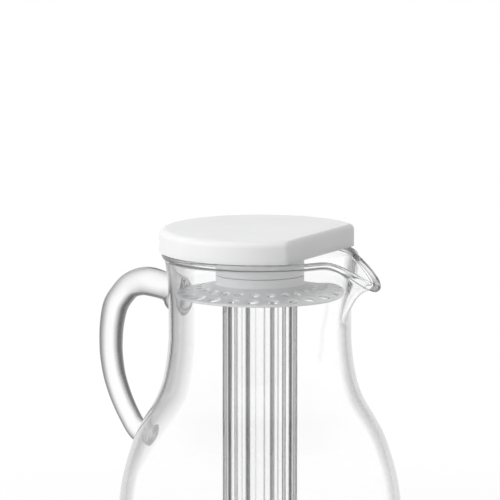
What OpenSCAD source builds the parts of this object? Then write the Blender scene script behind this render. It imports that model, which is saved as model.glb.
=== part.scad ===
// Clear pitcher with a drop-in ice core: the core tube screws into a lid with a strainer, and the lid
// rests on the rim. The pitcher stands on z = 0 with its axis on Z, its spout towards +X and its
// handle towards -X. Lengths are in millimetres.

/* [Pitcher body] */
// Height from the table to the top of the rim
pitcher_h = 231; // [215:1:250]
// Outer radius at the widest point of the belly
belly_r = 91.5; // [86:0.5:98]
// Height of the widest point of the belly
belly_z = 57; // [50:1:66]
// Radius of the flat face that it stands on
base_r = 62; // [54:1:70]
// Outer radius of the straight neck
neck_r = 58.6; // [56:0.2:62]
// Length of the neck, from the rim down to where it starts to swell
neck_len = 56; // [52:1:64]
// Thickness of the wall
wall_t = 3; // [2.4:0.1:3.8]
// Thickness of the floor
floor_t = 5.5; // [4:0.5:8]
// Radius of the round bead along the rim
bead_r = 2.1; // [2:0.1:2.6]
// How far the rim flares out beyond the middle of the neck's wall
rim_flare = 3.9; // [3:0.1:5]

/* [Spout] */
// How far the middle of the lip reaches beyond the rim's circle
spout_reach = 21.8; // [16:0.2:26]
// How far the tip of the lip hangs below the rim
spout_drop = 15.4; // [10:0.2:18]
// Half of the angle of the rim that the spout takes up
spout_half_angle = 38; // [30:1:46]
// Length of the wall, down from the rim, that the spout draws out
spout_depth = 49; // [42:1:52]
// How far the wall under the lip swells out
spout_swell = 9; // [5:0.5:12]
// Radius of the rounded lip at the tip
lip_r = 2.9; // [2.4:0.1:3.4]

/* [Handle] */
// Distance from the neck's wall to the middle of the handle's grip
handle_reach = 51.4; // [42:0.2:54]
// Depth of the handle's upper arm below the rim
handle_top = 25; // [22:0.5:28]
// Height from the upper arm down to the lower root
handle_span = 101; // [94:1:108]
// Thickness of the rod at the grip
handle_d = 15.2; // [12:0.2:18]

/* [Core tube] */
// Height left under the tube for the drink, above the pitcher's floor
core_space = 25.1; // [15:0.1:35]
// Outer radius of the fluted body
core_r = 24; // [23:0.1:26]
// Outer radius of the mouth, without its thread
mouth_r = 21.7; // [20.5:0.1:22]
// Height of the mouth above the body's shoulder
mouth_h = 10; // [9:0.5:12]
// Inner radius of the tube
core_bore_r = 20; // [18.5:0.1:20.2]
// Thickness of the tube's floor
core_floor_t = 3; // [2:0.2:5]
// Number of flutes round the body
flute_count = 10; // [8:1:16]
// Depth of each flute
flute_depth = 1.2; // [0.6:0.1:1.4]
// Radius of the round bottom of a flute's hollow
flute_cut_r = 38; // [30:1:50]
// Angle that the flutes are turned by about the tube's axis
flute_turn = -8; // [-18:1:18]
// Rise of the thread in one turn
thread_pitch = 5; // [4:0.5:6]
// Length of the thread in turns
thread_turns = 1.25; // [1:0.05:1.4]
// Height of the thread above the mouth
thread_rise = 1; // [0.6:0.1:1.2]

/* [Strainer] */
// Gap between the strainer's edge and the inside of the neck
strainer_gap = 1.5; // [1:0.1:2.5]
// Depth of the strainer's edge below the lid
strainer_drop = 26.5; // [25:0.5:30]
// How much higher the strainer stands at its root than at its edge
strainer_rise = 6.2; // [4:0.1:7]
// Thickness of the strainer's plate
strainer_t = 1.8; // [1.4:0.1:2.4]
// Height of the collar above the root of the plate
collar_h = 6.2; // [5:0.1:8]
// Holes in each of the two rows
hole_count = 24; // [18:1:26]
// Radius of a hole in the outer row
outer_hole_r = 3.5; // [2.5:0.1:4]
// Radius of a hole in the inner row
inner_hole_r = 2.9; // [2:0.1:3]

/* [Lid] */
// How far the lid reaches out beyond the rim
lid_overhang = 1.4; // [0.8:0.1:3]
// Height of the lid's cover
cover_h = 15; // [12:0.5:20]
// Radius of the cover's rounded top edge
cover_edge_r = 4.5; // [3:0.5:6]
// Thickness of the cover and of the plate under it
cover_t = 2.2; // [1.6:0.1:3]
// Distance from the axis to the straight cut that lets the drink out
pour_cut_x = 44; // [40:0.5:48]
// Outer radius of the neck under the lid
lid_neck_r = 28.3; // [27.8:0.1:30]
// Thickness of the web that shuts the core tube
web_t = 2.2; // [1.6:0.1:3]
// Thickness of the seal ring over the core tube's mouth
seal_t = 1.5; // [1:0.1:2.5]

/* [Hidden] */
$fn = 96;

// Clearances and the overrun of every cut
rest_gap = 0.3;
turn_gap = 0.3;
thread_gap = 0.6;
snap_gap = 0.1;
over = 1;

// Number of steps along each kind of curve
belly_steps = 12;
shoulder_steps = 3;
wall_steps = 8;
bead_steps = 9;
spout_steps = 32;
rim_steps = 42;
rod_sides = 18;
rod_steps = 3;
thread_steps = 24;
heel_steps = 5;
edge_steps = 6;

// The shoulder between belly and neck, from the bottom up: share of its height, share of its overhang
shoulder_shares = [
    [0, 1], [0.135, 0.965], [0.26, 0.885], [0.39, 0.75], [0.48, 0.625], [0.57, 0.45],
    [0.655, 0.27], [0.745, 0.14], [0.83, 0.07], [0.915, 0.025], [1, 0]
];

// The drawn-out wall: heights of its control points as shares of the spout's depth
wall_foot_share = 0.2;
wall_mid_share = 0.39;
// Share of the reach at which the wall levels out into the lip
lip_lead_share = 0.42;
// How far below the bead the wall turns outwards on the plain rim, and at the tip
rim_turn_h = 6;
lip_turn_h = 1.6;
// The wall's middle line stops at this share of its length, and the bead takes over
wall_end_share = 0.88;
// How sharply the lip reaches out and hangs down towards the tip: powers of its share of the spout's angle
lip_power_shares = [4, 4.9];
// The foot of the rim's ring stands a hair inside the wall below it and reaches this far into it
weld_gap = 0.06;
weld_depth = 0.8;

// The middle line of the handle: share of the reach, share of the span
handle_shares = [
    [-0.13, 0.085], [0, 0.072], [0.09, 0.045], [0.19, 0.026], [0.41, 0.004], [0.56, 0.008],
    [0.71, 0.039], [0.83, 0.099], [0.932, 0.18], [0.985, 0.3], [1, 0.42], [0.99, 0.52], [0.95, 0.635],
    [0.88, 0.74], [0.803, 0.826], [0.735, 0.888], [0.665, 0.945], [0.59, 0.985], [0.5, 1], [0.38, 1.01]
];
// The rod's height and width at those points, as shares of its thickness at the grip
rod_height_shares = [
    1.85, 1.66, 1.36, 1.2, 1.25, 1.2, 1.12, 1.09, 1.1, 1.05, 1.01, 0.99, 0.96, 0.94, 0.915, 0.9, 0.9, 0.93,
    1, 1.2
];
rod_width_shares = [
    1.7, 1.53, 1.3, 1.2, 1.2, 1.16, 1.12, 1.09, 1.08, 1.04, 1, 0.98, 0.96, 0.94, 0.93, 0.92, 0.93, 0.95,
    1, 1.1
];

// Small shapes of the core tube
mouth_bead_h = 1.8;
mouth_bead_rise = 0.45;
shoulder_h = 2.5;
heel_r = 3;
flute_top_land = 0.4;
flute_foot_land = 4;
thread_root_h = 2;
thread_crest_h = 0.7;
thread_sink = 0.5;
thread_top = 2.2;
thread_runout_share = 0.12;
gate_ring_r = 7.7;
gate_r = 3.2;
gate_depth = 0.8;

// Small shapes of the lid and the strainer
collar_wall = 1.7;
sleeve_tip_h = 0.6;
lip_catch = 0.7;
lip_catch_h = 1;
root_fillet = 1.4;
plate_edge_r = 0.6;
seal_width = 3.4;
outer_row_share = 0.79;
inner_row_share = 0.37;

// Derived places of the pitcher
wall_half = wall_t / 2;
wall_mid_r = neck_r - wall_half;
neck_in_r = neck_r - wall_t;
neck_z = pitcher_h - neck_len;
join_z = pitcher_h - spout_depth;
bead_z = pitcher_h - bead_r;
rim_mid_r = wall_mid_r + rim_flare;
rim_out_r = rim_mid_r + bead_r;

// Derived places of the lid, from the top of the rim down
lid_z = pitcher_h + rest_gap;
strainer_r = neck_in_r - strainer_gap;
root_z = lid_z - strainer_drop + strainer_rise;
edge_z = lid_z - strainer_drop;
part_z = root_z + collar_h;
sleeve_r = lid_neck_r - collar_wall - turn_gap;
collar_in_r = lid_neck_r - collar_wall;
collar_foot_z = root_z - strainer_t;
catch_z = collar_foot_z - turn_gap;
sleeve_end_z = catch_z - lip_catch_h - sleeve_tip_h;
sleeve_bore_r = mouth_r + thread_rise + thread_gap;
core_top_z = sleeve_end_z + mouth_h + rest_gap;
seal_z = core_top_z + rest_gap;
web_z = seal_z + seal_t;
core_z = floor_t + core_space;
cover_r = rim_out_r + lid_overhang;
plate_r = cover_r - cover_t - snap_gap;
plate_cut_x = pour_cut_x - cover_t - snap_gap;

// Curves
function unit(v) = v / norm(v);
function bezier(p, t) =
    len(p) == 1 ? p[0] : bezier([for (i = [0 : len(p) - 2]) p[i] * (1 - t) + p[i + 1] * t], t);
function bezier_dir(p, t) = unit(bezier([for (i = [0 : len(p) - 2]) p[i + 1] - p[i]], t));
function through(a, b, c, d, t) =
    b + 0.5 * ((c - a) * t + (2 * a - 5 * b + 4 * c - d) * pow(t, 2) + (3 * b - a - 3 * c + d) * pow(t, 3));
function smooth(p, steps) = concat(
    [for (i = [0 : len(p) - 2], k = [0 : steps - 1])
        through(p[max(i - 1, 0)], p[i], p[i + 1], p[min(i + 2, len(p) - 1)], k / steps)],
    [p[len(p) - 1]]
);
function reversed(p) = [for (i = [len(p) - 1 : -1 : 0]) p[i]];

// Outline of the belly, from the standing face up to the join with the rim's ring
function belly_line(foot_r, side_r, low_z) = concat(
    [for (k = [0 : belly_steps])
        let (a = 90 * k / belly_steps)
        [foot_r + (side_r - foot_r) * sin(a), belly_z - (belly_z - low_z) * cos(a)]],
    [for (s = smooth(shoulder_shares, shoulder_steps))
        if (s[0] > 0)
            [side_r - (belly_r - neck_r) * (1 - s[1]), belly_z + (neck_z - belly_z) * s[0]]],
    [[side_r - (belly_r - neck_r), join_z]]
);
outer_line = belly_line(base_r, belly_r, 0);
inner_line = belly_line(base_r - wall_t, belly_r - wall_t, floor_t);

// Section of the rim at one angle: reach and drop run from 0 on the plain rim to 1 at the tip
function rim_section(reach, drop) =
    let (
        tip = [rim_mid_r + spout_reach * reach, bead_z - spout_drop * drop],
        round_r = bead_r + (lip_r - bead_r) * reach,
        turn_h = rim_turn_h * (1 - reach) + lip_turn_h * reach,
        line = [
            [wall_mid_r, join_z],
            [wall_mid_r, join_z + wall_foot_share * spout_depth],
            [wall_mid_r + spout_swell * reach, join_z + wall_mid_share * spout_depth],
            [wall_mid_r + lip_lead_share * spout_reach * reach, tip[1] - turn_h],
            tip
        ],
        side = [for (k = [1 : wall_steps])
            let (t = wall_end_share * k / wall_steps, d = bezier_dir(line, t), p = bezier(line, t))
            [p, [d[1], -d[0]] * wall_half]],
        foot = [for (z = [join_z - weld_depth, join_z + weld_depth])
            [[wall_mid_r, z], [wall_half - weld_gap, 0]]],
        last = bezier_dir(line, 1),
        out_angle = atan2(-last[0], last[1]),
        start = out_angle - 90 + asin(wall_half / round_r),
        sweep = 360 - 2 * asin(wall_half / round_r)
    )
    concat(
        [for (s = concat(foot, side)) s[0] + s[1]],
        [for (k = [0 : bead_steps])
            let (a = start + sweep * k / bead_steps)
            tip + round_r * [cos(a), sin(a)]],
        reversed([for (s = concat(foot, side)) s[0] - s[1]])
    );

// Angles of the rim's sections: close together along the spout, wider apart round the rest
rim_angles = concat(
    [for (k = [0 : spout_steps - 1]) spout_half_angle * (2 * k / spout_steps - 1)],
    [for (k = [0 : rim_steps - 1]) spout_half_angle + (360 - 2 * spout_half_angle) * k / rim_steps]
);
function swing(a) = a < spout_half_angle ? 0.5 + 0.5 * cos(180 * a / spout_half_angle) : 0;

module rim_ring() {
    sections = [for (a = rim_angles)
        rim_section(pow(swing(a), lip_power_shares[0]), pow(swing(a), lip_power_shares[1]))];
    columns = len(sections);
    ring = len(sections[0]);
    points = [for (i = [0 : columns - 1]) for (p = sections[i])
        [p[0] * cos(rim_angles[i]), p[0] * sin(rim_angles[i]), p[1]]];
    faces = [for (i = [0 : columns - 1], j = [0 : ring - 1])
        let (
            i2 = (i + 1) % columns,
            j2 = (j + 1) % ring,
            a = i * ring + j,
            b = i * ring + j2,
            c = i2 * ring + j2,
            d = i2 * ring + j
        )
        each [[a, b, c], [a, c, d]]];
    polyhedron(points, faces);
}

module belly() {
    rotate_extrude()
        polygon(concat([[0, 0]], outer_line, reversed(inner_line), [[0, floor_t]]));
}

module pitcher_body() {
    color([0.86, 0.9, 0.92, 0.45]) {
        belly();
        rim_ring();
    }
}

// All that lies within the pitcher's outer face, which the handle's two roots are fused to
module pitcher_envelope() {
    plain = rim_section(0, 0);
    upper = [for (k = [2 : wall_steps + 1]) plain[k]];
    rotate_extrude()
        polygon(concat([[0, 0]], outer_line, upper, [[0, upper[len(upper) - 1][1]]]));
}

// A rod swept along the handle's middle line in the plane y = 0, oval across
module handle_rod() {
    place = [for (s = handle_shares)
        [-(neck_r + handle_reach * s[0]), pitcher_h - handle_top - handle_span * s[1]]];
    oval = [for (k = [0 : len(rod_height_shares) - 1])
        handle_d / 2 * [rod_height_shares[k], rod_width_shares[k]]];
    line = smooth(place, rod_steps);
    girth = smooth(oval, rod_steps);
    count = len(line);
    points = [for (i = [0 : count - 1])
        let (
            d = unit(line[min(i + 1, count - 1)] - line[max(i - 1, 0)]),
            n = [-d[1], d[0]]
        )
        for (k = [0 : rod_sides - 1])
            let (a = 360 * k / rod_sides, across = girth[i][0] * cos(a), along_y = girth[i][1] * sin(a))
            [line[i][0] + n[0] * across, along_y, line[i][1] + n[1] * across]];
    walls = [for (i = [0 : count - 2], k = [0 : rod_sides - 1])
        let (
            k2 = (k + 1) % rod_sides,
            a = i * rod_sides + k,
            b = i * rod_sides + k2,
            c = (i + 1) * rod_sides + k2,
            d = (i + 1) * rod_sides + k
        )
        each [[a, b, c], [a, c, d]]];
    last = (count - 1) * rod_sides;
    ends = [
        [for (k = [rod_sides - 1 : -1 : 0]) k],
        [for (k = [0 : rod_sides - 1]) last + k]
    ];
    polyhedron(points, concat(walls, ends));
}

module handle() {
    color([0.84, 0.89, 0.92, 0.55])
        difference() {
            handle_rod();
            pitcher_envelope();
        }
}

// One right-handed ridge round the mouth that runs out at both ends
module core_thread() {
    count = ceil(thread_steps * thread_turns);
    top = core_top_z - thread_top;
    rings = [for (i = [0 : count])
        let (
            share = i / count,
            fade = min(1, min(share, 1 - share) / thread_runout_share),
            a = 360 * thread_turns * share,
            z = top - thread_pitch * thread_turns * (1 - share),
            root = mouth_r - thread_sink,
            crest = mouth_r + thread_rise * fade - thread_sink * (1 - fade) / 2
        )
        [for (p = [[root, -thread_root_h / 2], [crest, -thread_crest_h / 2],
                   [crest, thread_crest_h / 2], [root, thread_root_h / 2]])
            [p[0] * cos(a), p[0] * sin(a), z + p[1]]]];
    corners = len(rings[0]);
    walls = [for (i = [0 : count - 1], k = [0 : corners - 1])
        let (
            k2 = (k + 1) % corners,
            a = i * corners + k,
            b = i * corners + k2,
            c = (i + 1) * corners + k2,
            d = (i + 1) * corners + k
        )
        each [[a, b, c], [a, c, d]]];
    ends = [
        [for (k = [corners - 1 : -1 : 0]) k],
        [for (k = [0 : corners - 1]) count * corners + k]
    ];
    points = [for (r = rings) each r];
    polyhedron(points, concat(walls, ends));
}

module core_flutes() {
    low_z = core_z + flute_foot_land;
    high_z = core_top_z - mouth_h - shoulder_h - flute_top_land;
    for (k = [0 : flute_count - 1])
        rotate([0, 0, flute_turn + 360 * (k + 0.5) / flute_count])
            translate([core_r - flute_depth + flute_cut_r, 0, low_z])
                cylinder(h = high_z - low_z, r = flute_cut_r);
}

module core_tube() {
    shoulder_z = core_top_z - mouth_h;
    heel = [for (k = [0 : heel_steps])
        let (a = 90 * k / heel_steps)
        [core_r - heel_r + heel_r * sin(a), core_z + heel_r - heel_r * cos(a)]];
    bead = [
        [mouth_r, core_top_z - mouth_bead_h],
        [mouth_r + mouth_bead_rise, core_top_z - 0.7 * mouth_bead_h],
        [mouth_r + mouth_bead_rise, core_top_z - 0.3 * mouth_bead_h],
        [mouth_r, core_top_z],
        [core_bore_r, core_top_z]
    ];
    recess = [
        [0, core_z],
        [gate_r, core_z],
        [gate_r, core_z + gate_depth],
        [gate_ring_r, core_z + gate_depth],
        [gate_ring_r, core_z]
    ];
    color([0.88, 0.9, 0.92, 0.5]) {
        difference() {
            rotate_extrude()
                polygon(concat(
                    recess,
                    heel,
                    [[core_r, shoulder_z - shoulder_h], [mouth_r, shoulder_z]],
                    bead,
                    [[core_bore_r, core_z + core_floor_t], [0, core_z + core_floor_t]]
                ));
            core_flutes();
        }
        core_thread();
    }
}

module core_seal() {
    color([0.93, 0.93, 0.92])
        translate([0, 0, seal_z])
            difference() {
                cylinder(h = seal_t, r = sleeve_bore_r - turn_gap);
                translate([0, 0, -over])
                    cylinder(h = seal_t + 2 * over, r = sleeve_bore_r - turn_gap - seal_width);
            }
}

module strainer() {
    plate_w = strainer_r - lid_neck_r;
    slope = strainer_rise / plate_w;
    profile = [
        [collar_in_r, part_z - turn_gap],
        [lid_neck_r, part_z - turn_gap],
        [lid_neck_r, root_z + root_fillet],
        [lid_neck_r + 0.3 * root_fillet, root_z + 0.3 * root_fillet],
        [lid_neck_r + root_fillet, root_z - slope * root_fillet],
        [strainer_r - plate_edge_r, edge_z + slope * plate_edge_r],
        [strainer_r, edge_z - plate_edge_r],
        [strainer_r, edge_z - strainer_t + plate_edge_r],
        [strainer_r - plate_edge_r, edge_z - strainer_t],
        [lid_neck_r, root_z - strainer_t],
        [collar_in_r, root_z - strainer_t]
    ];
    color([0.93, 0.93, 0.94])
        difference() {
            rotate_extrude()
                polygon(profile);
            for (k = [0 : hole_count - 1])
                rotate([0, 0, 360 * (k + 0.5) / hole_count]) {
                    translate([lid_neck_r + outer_row_share * plate_w, 0, edge_z - strainer_t - over])
                        cylinder(h = strainer_rise + strainer_t + 2 * over, r = outer_hole_r);
                    translate([lid_neck_r + inner_row_share * plate_w, 0, edge_z - strainer_t - over])
                        cylinder(h = strainer_rise + strainer_t + 2 * over, r = inner_hole_r);
                }
        }
}

// Everything on the handle's side of a straight cut across the lid
module behind_cut(x, low_z, high_z) {
    size = 2 * cover_r;
    translate([x - size, -size / 2, low_z])
        cube([size, size, high_z - low_z]);
}

module lid_neck() {
    profile = [
        [0, web_z],
        [sleeve_bore_r, web_z],
        [sleeve_bore_r, sleeve_end_z],
        [sleeve_r - lip_catch, sleeve_end_z],
        [sleeve_r + lip_catch, catch_z - lip_catch_h],
        [sleeve_r + lip_catch, catch_z],
        [sleeve_r, catch_z],
        [sleeve_r, part_z],
        [lid_neck_r, part_z],
        [lid_neck_r, lid_z + cover_t],
        [lid_neck_r - cover_t, lid_z + cover_t],
        [lid_neck_r - cover_t, web_z + web_t],
        [0, web_z + web_t]
    ];
    color([0.95, 0.95, 0.96]) {
        rotate_extrude()
            polygon(profile);
        intersection() {
            translate([0, 0, lid_z])
                difference() {
                    cylinder(h = cover_t, r = plate_r);
                    translate([0, 0, -over])
                        cylinder(h = cover_t + 2 * over, r = lid_neck_r - over);
                }
            behind_cut(plate_cut_x, lid_z - over, lid_z + cover_t + over);
        }
    }
}

function cover_profile(r, edge_r, top_z) = concat(
    [[0, lid_z - over], [r, lid_z - over]],
    [for (k = [0 : edge_steps])
        let (a = 90 * k / edge_steps)
        [r - edge_r + edge_r * cos(a), top_z - edge_r + edge_r * sin(a)]],
    [[0, top_z]]
);

module lid_cover() {
    top_z = lid_z + cover_h;
    color([0.96, 0.96, 0.97])
        difference() {
            intersection() {
                rotate_extrude()
                    polygon(cover_profile(cover_r, cover_edge_r, top_z));
                behind_cut(pour_cut_x, lid_z, top_z + over);
            }
            intersection() {
                rotate_extrude()
                    polygon(cover_profile(cover_r - cover_t, cover_edge_r - cover_t, top_z - cover_t));
                behind_cut(pour_cut_x - cover_t, lid_z - over, top_z + over);
            }
        }
}

pitcher_body();
handle();
core_tube();
core_seal();
strainer();
lid_neck();
lid_cover();
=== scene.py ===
import math

import bmesh
import bpy
import numpy as np
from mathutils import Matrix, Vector


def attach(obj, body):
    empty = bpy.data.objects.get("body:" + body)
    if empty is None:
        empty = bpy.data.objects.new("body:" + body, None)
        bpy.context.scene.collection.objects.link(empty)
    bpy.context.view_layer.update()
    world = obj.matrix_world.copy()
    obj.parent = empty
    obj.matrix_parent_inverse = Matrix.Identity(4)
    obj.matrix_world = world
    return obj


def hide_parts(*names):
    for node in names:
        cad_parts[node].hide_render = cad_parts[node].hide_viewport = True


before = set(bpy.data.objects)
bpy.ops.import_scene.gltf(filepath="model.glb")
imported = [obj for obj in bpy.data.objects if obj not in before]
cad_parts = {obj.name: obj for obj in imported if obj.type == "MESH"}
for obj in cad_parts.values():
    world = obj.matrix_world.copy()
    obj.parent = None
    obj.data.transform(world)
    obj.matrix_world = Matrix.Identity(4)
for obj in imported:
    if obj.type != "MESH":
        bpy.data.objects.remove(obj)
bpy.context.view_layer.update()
MM = 0.001
TAU = 2 * math.pi
QUARTER = math.pi / 2

# Pitcher, in millimetres; the spout's half width is an angle in degrees
PITCHER_H = 231.0
BELLY_R = 91.5
BELLY_Z = 57.0
BASE_R = 62.0
NECK_R = 58.6
NECK_LEN = 56.0
WALL_T = 3.0
FLOOR_T = 5.5
BEAD_R = 2.1
RIM_FLARE = 3.9
SPOUT_REACH = 21.8
SPOUT_DROP = 15.4
SPOUT_HALF = 38.0
SPOUT_DEPTH = 49.0
SPOUT_SWELL = 9.0
LIP_R = 2.9
NECK_Z = PITCHER_H - NECK_LEN
JOIN_Z = PITCHER_H - SPOUT_DEPTH
BEAD_Z = PITCHER_H - BEAD_R
WALL_MID_R = NECK_R - WALL_T / 2
RIM_MID_R = WALL_MID_R + RIM_FLARE

# The shoulder from belly to neck: share of the height, and share of the radius that is still left
SHOULDER = [(0, 1), (0.135, 0.965), (0.26, 0.885), (0.39, 0.75), (0.48, 0.625), (0.57, 0.45),
            (0.655, 0.27), (0.745, 0.14), (0.83, 0.07), (0.915, 0.025), (1, 0)]

# Radius and height of the foot's underside, and radius and depth of the dip in the floor
FOOT_LINE = [(8, 0.9), (40, 0.9), (50, 0.8), (53, 0.45), (54.6, 0.1), (56, 0.0), (59, 0.0)]
FLOOR_DIP = [(56, 0.02), (40, 0.1), (8, 0.15)]

# How the rim turns into the spout: powers, shares of its depth and reach, and the curl under the bead
REACH_POWER = 4
DROP_POWER = 4.9
SWELL_FROM = 0.2
SWELL_FULL = 0.39
SPOUT_LEAN = 0.42
CURL_RIM = 6.0
CURL_SPOUT = 1.6
BEAD_FROM = 0.9

# Steps of the pitcher's grid, up and round
BELLY_STEPS = 48
SHOULDER_STEPS = 9
NECK_STEPS = 6
RIM_STEPS = 40
BEAD_STEPS = 27
SPOUT_COLS = 96
REST_COLS = 160

# Handle: its line as shares of reach and span, and its width in and across its plane as shares of HANDLE_D
HANDLE_REACH = 51.4
HANDLE_TOP = 25.0
HANDLE_SPAN = 101.0
HANDLE_D = 15.2
HANDLE_LINE = [
    (-0.13, 0.085), (0, 0.072), (0.09, 0.045), (0.19, 0.026), (0.41, 0.004), (0.56, 0.008),
    (0.71, 0.039), (0.83, 0.099), (0.932, 0.18), (0.985, 0.3), (1, 0.42), (0.99, 0.52),
    (0.95, 0.635), (0.88, 0.74), (0.803, 0.826), (0.735, 0.888), (0.665, 0.945), (0.59, 0.985),
    (0.5, 1), (0.38, 1.01)
]
HANDLE_GIRTH = [
    (1.85, 1.7), (1.66, 1.53), (1.36, 1.3), (1.2, 1.2), (1.25, 1.2), (1.2, 1.16), (1.12, 1.12),
    (1.09, 1.09), (1.1, 1.08), (1.05, 1.04), (1.01, 1), (0.99, 0.98), (0.96, 0.96),
    (0.94, 0.94), (0.915, 0.93), (0.9, 0.92), (0.9, 0.93), (0.93, 0.95), (1, 1), (1.2, 1.1)
]
HANDLE_STEPS = 16
HANDLE_ROWS = 180
HANDLE_SIDES = 64
ROOT_GAP = 0.05
ROOT_RINGS = (0.8, 0.6, 0.4, 0.2, 0.02)

# Core tube
CORE_R = 24.0
MOUTH_R = 21.7
MOUTH_H = 10.0
CORE_BORE_R = 20.0
CORE_FLOOR_T = 3.0
CORE_HEEL_R = 3.0
CORE_COLS = 384
FLUTES = 10
FLUTE_TURN = math.radians(-8)
FLUTE_DEPTH = 1.2
FLUTE_CUT_R = 38.0
FLUTE_SOFT = 0.2
FLUTE_FOOT = 4.0
FLUTE_RISE = 6.0
FLUTE_END = 0.6
SHOULDER_H = 2.5
SHOULDER_DRAWN = 0.92
TUBE_LIP_H = 1.8
TUBE_LIP_RUN = 1.6
TUBE_LIP_RISE = 0.45
TUBE_LIP_FULL = 0.6
TUBE_LIP_OUTER = [(0.15, 0.08), (0.4, 0)]
TUBE_LIP_INNER = [(0.4, 0), (0.1, 0.1)]
BORE_FROM = 0.4
THREAD_PITCH = 5.0
THREAD_TURNS = 1.25
THREAD_RISE = 1.0
THREAD_TOP = 2.2
THREAD_FADE = 0.12
THREAD_CREST = 0.3
THREAD_FOOT = 1.0

# Rows of the tube's grid, where its close and wide rows run, and how near two equal radii are
HEEL_ROWS = 9
RISE_ROWS = 20
WALL_ROWS = 36
END_ROWS = 5
SHOULDER_ROWS = 14
MOUTH_ROWS = 56
LIP_ROWS = 9
BORE_ROWS = 60
RISE_ROWS_TO = 7
WALL_ROWS_FROM = 10
WALL_ROWS_TO = 1
SAME_R = 0.01

# The tube's underside with a groove round its gate mark, and its floor's raised middle: radius and height
GATE_LINE = [(0.6, 0), (2.8, 0), (3.1, 0.1), (3.2, 0.3), (3.3, 0.7), (3.5, 0.8), (7.3, 0.8), (7.6, 0.5),
             (7.7, 0.2), (8.0, 0), (12, 0), (17, 0)]
CORE_FLOOR_LINE = [(12, 0), (5.2, 0), (3.2, 0.12), (1, 0.2)]

# Places of the lid and all that hangs from it
LID_Z = PITCHER_H + 0.3
COVER_R = RIM_MID_R + BEAD_R + 1.4
COVER_H = 15.0
COVER_T = 2.2
COVER_EDGE = 4.5
POUR_CUT = 44.0
LID_NECK_R = 28.3
STRAINER_R = NECK_R - WALL_T - 1.5
EDGE_Z = LID_Z - 26.5
ROOT_Z = EDGE_Z + 6.2
STRAINER_T = 1.8
PART_Z = ROOT_Z + 6.2
COLLAR_IN_R = LID_NECK_R - 1.7
SLEEVE_R = COLLAR_IN_R - 0.3
CATCH_Z = ROOT_Z - STRAINER_T - 0.3
SLEEVE_END_Z = CATCH_Z - 1.6
SLEEVE_BORE_R = MOUTH_R + THREAD_RISE + 0.6
CORE_TOP_Z = SLEEVE_END_Z + MOUTH_H + 0.3
CORE_Z = FLOOR_T + 25.1
SEAL_Z = CORE_TOP_Z + 0.3
SEAL_T = 1.5
SEAL_W = 3.4
SEAL_GAP = 0.3
SEAL_ROUND = 0.35
SEAL_COLS = 160
WEB_Z = SEAL_Z + SEAL_T
WEB_T = 2.2

# Strainer: two rows of holes, and the cells round them that make up its cone
HOLES = 24
ROW_R = (LID_NECK_R + 0.37 * (STRAINER_R - LID_NECK_R), LID_NECK_R + 0.79 * (STRAINER_R - LID_NECK_R))
HOLE_R = (2.9, 3.5)
HOLE_EDGE = 0.45
CELL_STEPS = 12
CELL_RINGS = 6
ROOT_ROUND = 1.4
ROW_SPLIT_R = 43.2
EDGE_W = 0.9
EDGE_CORNER = 0.5
EDGE_ROUND = 0.4

# Collar and neck: the gap at the part line, the catch, the seat on the plate, and the points of a round
PART_GAP = 0.3
COLLAR_ROUND = 0.35
COLLAR_ROUND_IN = 0.25
COLLAR_ROUND_STEPS = 8
CATCH_OUT = 0.7
CATCH_H = 1
SEAT_OUT = 1.2
SEAT_UP = 0.4
SEAT_ROUND = 1.1
WEB_IN_R = 0.5
WEB_ROUND = 0.6
SLEEVE_ROUND = 0.3
CATCH_ROUND = 0.2
CATCH_ROUND_IN = 0.15
NECK_ROUND_STEPS = 6
NECK_COLS = 288

# Lid: half angle of the finer columns at the pour cut in radians, and edges of the cap and the plate
CUT_ANGLE = 0.95
CUT_COSINE = 0.2
CUT_COLS = 220
DISC_COLS = 260
CORNER_SOFT = 1.6
CORNER_SHARE = 0.2
NO_CUT = 1e3
CAP_RINGS_IN = (0.02, 0.3, 0.6, 0.85, 0.96)
CAP_RINGS_TOP = (0.97, 0.85, 0.6, 0.3, 0.02)
HOLLOW_STEPS = 7
CAP_EDGE_STEPS = 13
COVER_HOLLOW_ROUND = 2.3
COVER_CUT_EDGE = 1.6
SKIRT_INSIDE = [(0, 0.4), (0.15, 0.1), (0.5, 0)]
SKIRT_OUTSIDE = [(0.6, 0), (0.18, 0.18), (0, 0.6), (0, 4)]
PLATE_GAP = 0.1
PLATE_ROUND = 0.3
PLATE_RINGS_LOW = (0.02, 0.3, 0.6, 0.9)
PLATE_RINGS_TOP = (1, 0.9, 0.6, 0.3, 0.02)
PLATE_EDGE_STEPS = 5


# Curves and meshes
def smooth_line(points, steps):
    """A curve through all points, with steps pieces between each two."""
    p = np.array(points, float)
    ends = np.vstack([p[:1], p, p[-1:]])
    out = []
    for i in range(len(p) - 1):
        a, b, c, d = ends[i : i + 4]
        second = 2 * a - 5 * b + 4 * c - d
        third = 3 * b - a - 3 * c + d
        for t in np.arange(steps) / steps:
            out.append(b + 0.5 * ((c - a) * t + second * t**2 + third * t**3))
    out.append(p[-1])
    return np.array(out)


def on_bezier(control, t):
    """Points of many curves at once: control is curves x points x 2, and the answer is curves x t x 2."""
    level = [control[:, i, None, :] for i in range(control.shape[1])]
    t = t[None, :, None]
    while len(level) > 1:
        level = [a * (1 - t) + b * t for a, b in zip(level, level[1:])]
    return level[0]


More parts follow.
